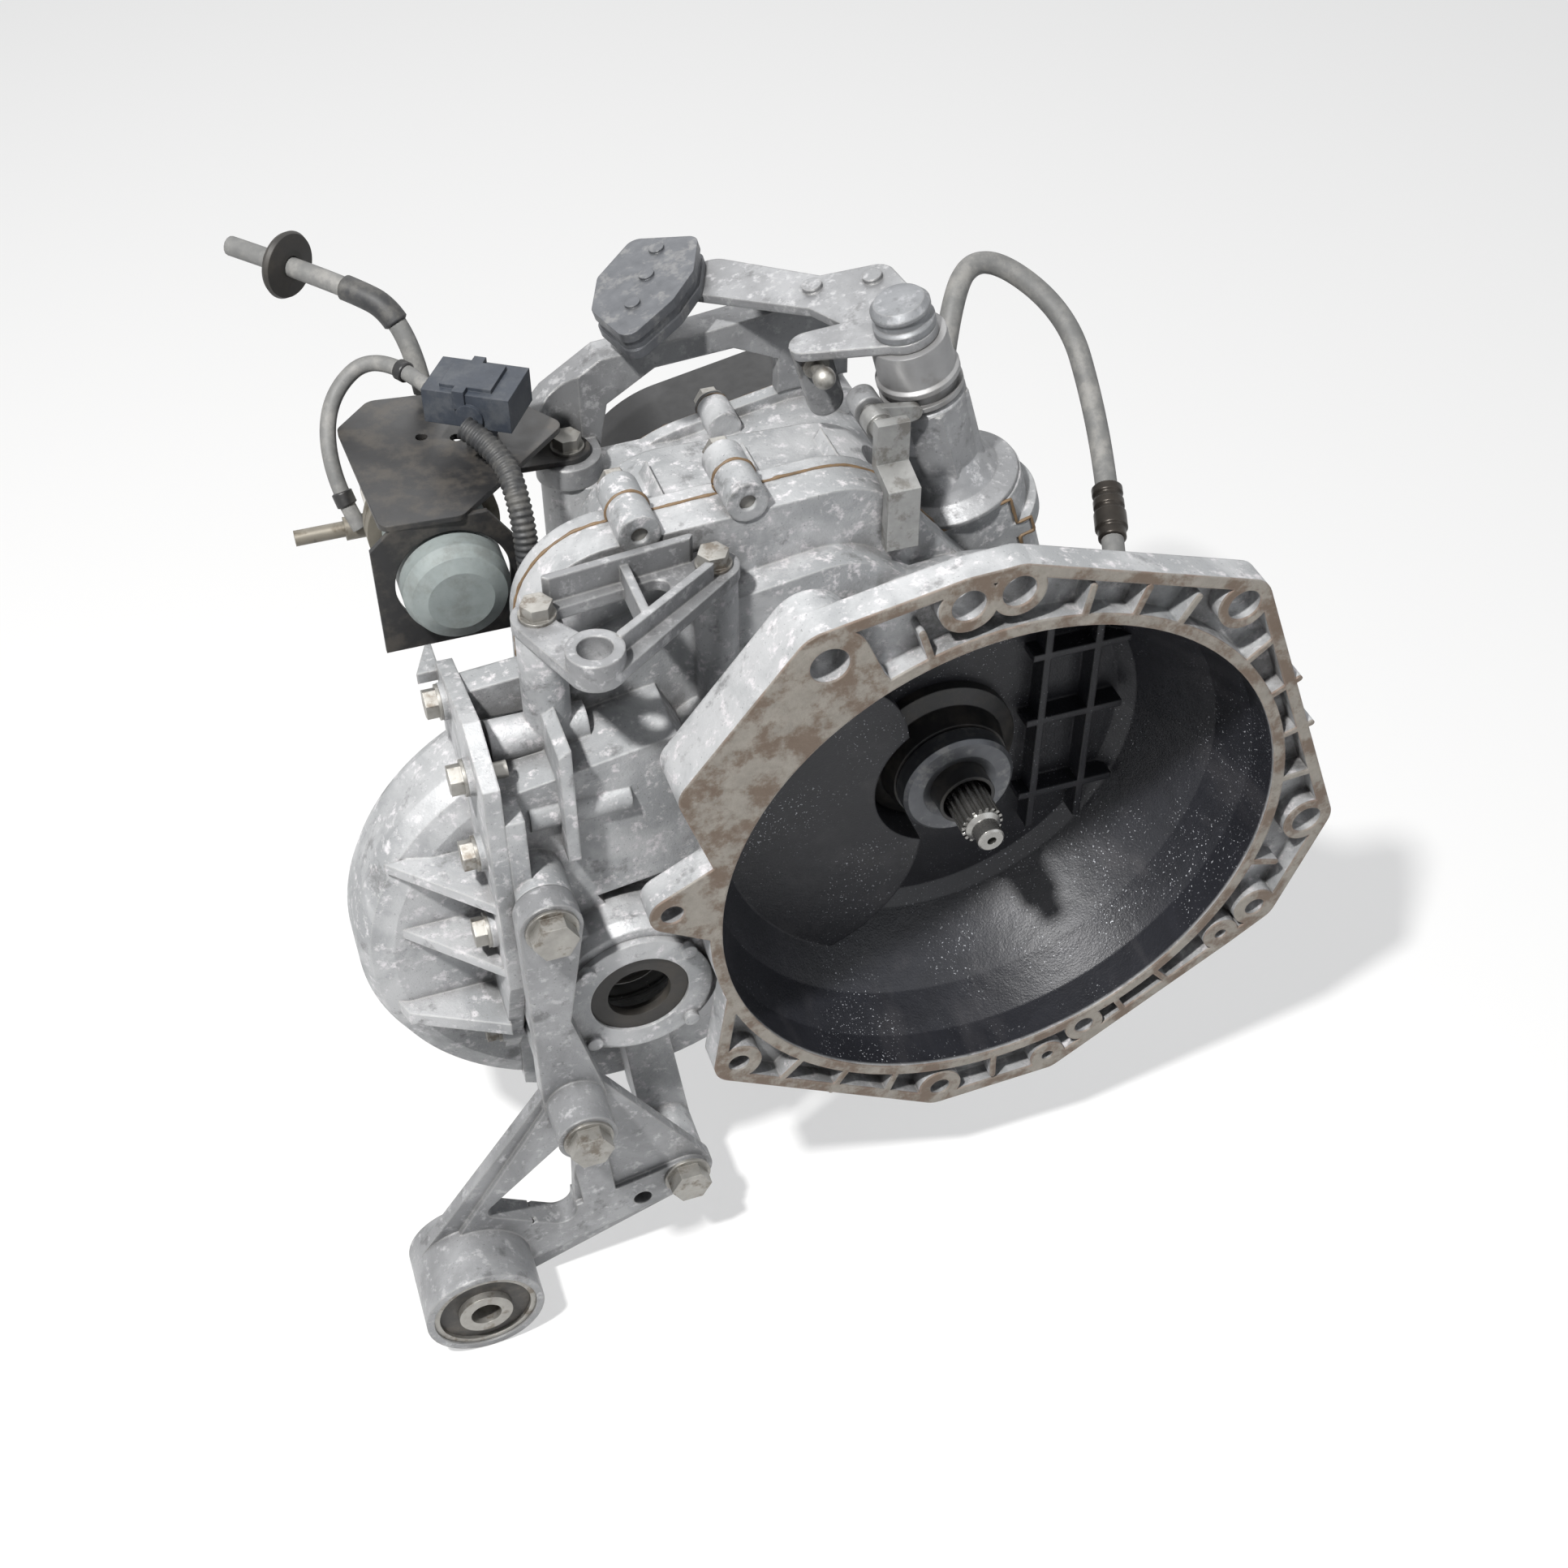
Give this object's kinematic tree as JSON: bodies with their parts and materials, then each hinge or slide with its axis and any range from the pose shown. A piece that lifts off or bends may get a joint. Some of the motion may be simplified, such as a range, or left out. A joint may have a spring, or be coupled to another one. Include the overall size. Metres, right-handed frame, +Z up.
{
  "type": "manual transmission",
  "caption": "Transverse manual transaxle with open clutch bell, differential, leaning selector tower, mount bracket, vacuum pump and hoses.",
  "frame": {"origin": "on the input shaft axis in the plane of the engine flange", "axes": "+Y from the engine into the gearbox, +Z up, +X to the right looking from the engine"},
  "size_m": [0.5018, 0.3828, 0.4781],
  "materials": {
    "sand_cast": "sand cast, weathered",
    "smooth_cast": "smooth die cast",
    "machined_aluminium": "machined",
    "black_sheet": "satin black",
    "gasket": "dull",
    "zinc_steel": "dull zinc",
    "dark_steel": "oily",
    "gear_steel": "ground, oiled",
    "bearing_steel": "ground",
    "seal_rubber": "matte",
    "black_plastic": "matte",
    "bush_rubber": "dusty",
    "black_paint": "dirty satin",
    "pump_metal": "dull",
    "canister_paint": "dusty",
    "slate_plastic": "matte",
    "loom_plastic": "corrugated, dusty",
    "hose_rubber": "dusty",
    "iron": "oily",
    "lever_steel": "zinc plated",
    "cap_plastic": "worn"
  },
  "bodies": {
    "case": {"clutch_housing": "sand_cast", "gear_case": "sand_cast", "end_cover": "black_sheet", "end_cover_gasket": "gasket", "differential_cover": "sand_cast", "differential_cover_bolts": "zinc_steel", "case_bolts": "zinc_steel", "reverse_idler_shaft": "gear_steel", "shaft_bearings": "bearing_steel", "bearing_adjuster": "dark_steel", "output_seal_front": "seal_rubber", "output_seal_rear": "seal_rubber", "slave_cylinder": "black_plastic", "selector_tower": "machined_aluminium", "support_arm": "smooth_cast", "cable_bracket": "smooth_cast", "mount_bracket": "smooth_cast", "mount_bush": "bush_rubber", "mount_bush_sleeves": "zinc_steel", "pump_bracket": "black_paint", "pump_body": "pump_metal", "pump_canister": "canister_paint", "connector": "slate_plastic", "bracket_bolts": "zinc_steel", "mount_bolts": "zinc_steel", "wiring_loom": "loom_plastic", "breather_hose": "hose_rubber", "vacuum_pipe": "hose_rubber", "hydraulic_hose": "hose_rubber", "vacuum_grommet": "seal_rubber"},
    "differential": {"differential_case": "iron", "ring_gear": "gear_steel", "cross_pin": "gear_steel"},
    "selector": {"selector_shaft": "gear_steel", "shift_lever": "lever_steel", "counterweight_plates": "lever_steel", "tower_cap": "cap_plastic", "ball_stud": "zinc_steel"},
    "input_shaft": {"input_shaft": "gear_steel"},
    "output_shaft": {"output_shaft": "gear_steel"},
    "gear_1": {"gear_1": "gear_steel"},
    "gear_2": {"gear_2": "gear_steel"},
    "gear_3": {"gear_3": "gear_steel"},
    "gear_4": {"gear_4": "gear_steel"},
    "gear_5": {"gear_5": "gear_steel"},
    "reverse_gear": {"reverse_gear": "gear_steel"},
    "reverse_idler": {"reverse_idler": "gear_steel"},
    "sleeve_12": {"sleeve_12": "gear_steel"},
    "sleeve_34": {"sleeve_34": "gear_steel"},
    "sleeve_5r": {"sleeve_5r": "gear_steel"},
    "fork_12": {"fork_12": "smooth_cast"},
    "fork_34": {"fork_34": "smooth_cast"},
    "fork_5r": {"fork_5r": "smooth_cast"},
    "side_gear_front": {"side_gear_front": "gear_steel"},
    "side_gear_rear": {"side_gear_rear": "gear_steel"},
    "spider_gear_upper": {"spider_gear_upper": "gear_steel"},
    "spider_gear_lower": {"spider_gear_lower": "gear_steel"},
    "select_yoke": {"select_yoke": "machined_aluminium"},
    "select_lever": {"select_lever": "lever_steel"},
    "release_bearing": {"release_bearing": "bearing_steel"}
  },
  "joints": [
    {"name": "input_spin", "type": "hinge", "parent": "case", "child": "input_shaft", "pos_m": [0, 0.15, 0], "axis": [0, 1, 0], "continuous": true},
    {"name": "gear_1_spin", "type": "hinge", "parent": "case", "child": "gear_1", "pos_m": [-0.0681, 0.15, 0.0315], "axis": [0, 1, 0], "continuous": true},
    {"name": "gear_2_spin", "type": "hinge", "parent": "case", "child": "gear_2", "pos_m": [-0.0681, 0.15, 0.0315], "axis": [0, 1, 0], "continuous": true},
    {"name": "gear_3_spin", "type": "hinge", "parent": "case", "child": "gear_3", "pos_m": [-0.0681, 0.15, 0.0315], "axis": [0, 1, 0], "continuous": true},
    {"name": "gear_4_spin", "type": "hinge", "parent": "case", "child": "gear_4", "pos_m": [-0.0681, 0.15, 0.0315], "axis": [0, 1, 0], "continuous": true},
    {"name": "gear_5_spin", "type": "hinge", "parent": "case", "child": "gear_5", "pos_m": [-0.0681, 0.15, 0.0315], "axis": [0, 1, 0], "continuous": true},
    {"name": "reverse_idler_spin", "type": "hinge", "parent": "case", "child": "reverse_idler", "pos_m": [0.0044, 0.296, 0.0409], "axis": [0, 1, 0], "continuous": true},
    {"name": "reverse_gear_spin", "type": "hinge", "parent": "case", "child": "reverse_gear", "pos_m": [-0.0681, 0.15, 0.0315], "axis": [0, 1, 0], "continuous": true},
    {"name": "differential_spin", "type": "hinge", "parent": "case", "child": "differential", "pos_m": [-0.182, 0.1, -0.05], "axis": [0, 1, 0], "continuous": true},
    {"name": "output_spin", "type": "hinge", "parent": "case", "child": "output_shaft", "pos_m": [-0.0681, 0.15, 0.0315], "axis": [0, 1, 0], "continuous": true},
    {"name": "side_gear_front_spin", "type": "hinge", "parent": "differential", "child": "side_gear_front", "pos_m": [-0.182, 0.1, -0.05], "axis": [0, 1, 0], "continuous": true},
    {"name": "side_gear_rear_spin", "type": "hinge", "parent": "differential", "child": "side_gear_rear", "pos_m": [-0.182, 0.1, -0.05], "axis": [0, 1, 0], "continuous": true},
    {"name": "spider_gear_upper_spin", "type": "hinge", "parent": "differential", "child": "spider_gear_upper", "pos_m": [-0.182, 0.1, -0.05], "axis": [0, 0, 1], "continuous": true},
    {"name": "spider_gear_lower_spin", "type": "hinge", "parent": "differential", "child": "spider_gear_lower", "pos_m": [-0.182, 0.1, -0.05], "axis": [0, 0, 1], "continuous": true},
    {"name": "select_slide", "type": "slide", "parent": "case", "child": "select_yoke", "axis": [-0.2756, 0, 0.9613], "range_m": [0, 0.01]},
    {"name": "select_lever_turn", "type": "hinge", "parent": "case", "child": "select_lever", "pos_m": [-0.02486, 0.15, 0.18102], "axis": [0, -1, 0], "range_deg": [0, 31.6]},
    {"name": "selector_turn", "type": "hinge", "parent": "select_yoke", "child": "selector", "pos_m": [0.03, 0.15, 0.1], "axis": [-0.2756, 0, 0.9613], "range_deg": [-18.55, 18.55]},
    {"name": "fork_12_slide", "type": "slide", "parent": "case", "child": "fork_12", "axis": [0, 1, 0], "range_m": [-0.007, 0.007]},
    {"name": "sleeve_12_slide", "type": "slide", "parent": "output_shaft", "child": "sleeve_12", "axis": [0, 1, 0], "range_m": [-0.007, 0.007]},
    {"name": "fork_34_slide", "type": "slide", "parent": "case", "child": "fork_34", "axis": [0, 1, 0], "range_m": [-0.007, 0.007]},
    {"name": "sleeve_34_slide", "type": "slide", "parent": "output_shaft", "child": "sleeve_34", "axis": [0, 1, 0], "range_m": [-0.007, 0.007]},
    {"name": "fork_5r_slide", "type": "slide", "parent": "case", "child": "fork_5r", "axis": [0, 1, 0], "range_m": [-0.007, 0.007]},
    {"name": "sleeve_5r_slide", "type": "slide", "parent": "output_shaft", "child": "sleeve_5r", "axis": [0, 1, 0], "range_m": [-0.007, 0.007]},
    {"name": "release_slide", "type": "slide", "parent": "case", "child": "release_bearing", "axis": [0, -1, 0], "range_m": [0, 0.01]}
  ],
  "couplings": [
    {"joint": "gear_1_spin", "follows": "input_spin", "ratio": -0.29032},
    {"joint": "gear_2_spin", "follows": "input_spin", "ratio": -0.48148},
    {"joint": "gear_3_spin", "follows": "input_spin", "ratio": -0.73913},
    {"joint": "gear_4_spin", "follows": "input_spin", "ratio": -1.1053},
    {"joint": "gear_5_spin", "follows": "input_spin", "ratio": -1.3529},
    {"joint": "reverse_idler_spin", "follows": "input_spin", "ratio": -0.69231},
    {"joint": "reverse_gear_spin", "follows": "input_spin", "ratio": 0.34615},
    {"joint": "output_spin", "follows": "differential_spin", "ratio": -3.9231},
    {"joint": "side_gear_rear_spin", "follows": "side_gear_front_spin", "ratio": -1},
    {"joint": "spider_gear_upper_spin", "follows": "side_gear_front_spin", "ratio": 1.4},
    {"joint": "spider_gear_lower_spin", "follows": "side_gear_front_spin", "ratio": -1.4},
    {"joint": "select_lever_turn", "follows": "select_slide", "rad_per_m": 55.152},
    {"joint": "fork_12_slide", "follows": "selector_turn", "m_per_rad": -0.021621},
    {"joint": "sleeve_12_slide", "follows": "selector_turn", "m_per_rad": -0.021621},
    {"joint": "sleeve_34_slide", "follows": "fork_34_slide", "ratio": 1},
    {"joint": "sleeve_5r_slide", "follows": "fork_5r_slide", "ratio": 1}
  ]
}
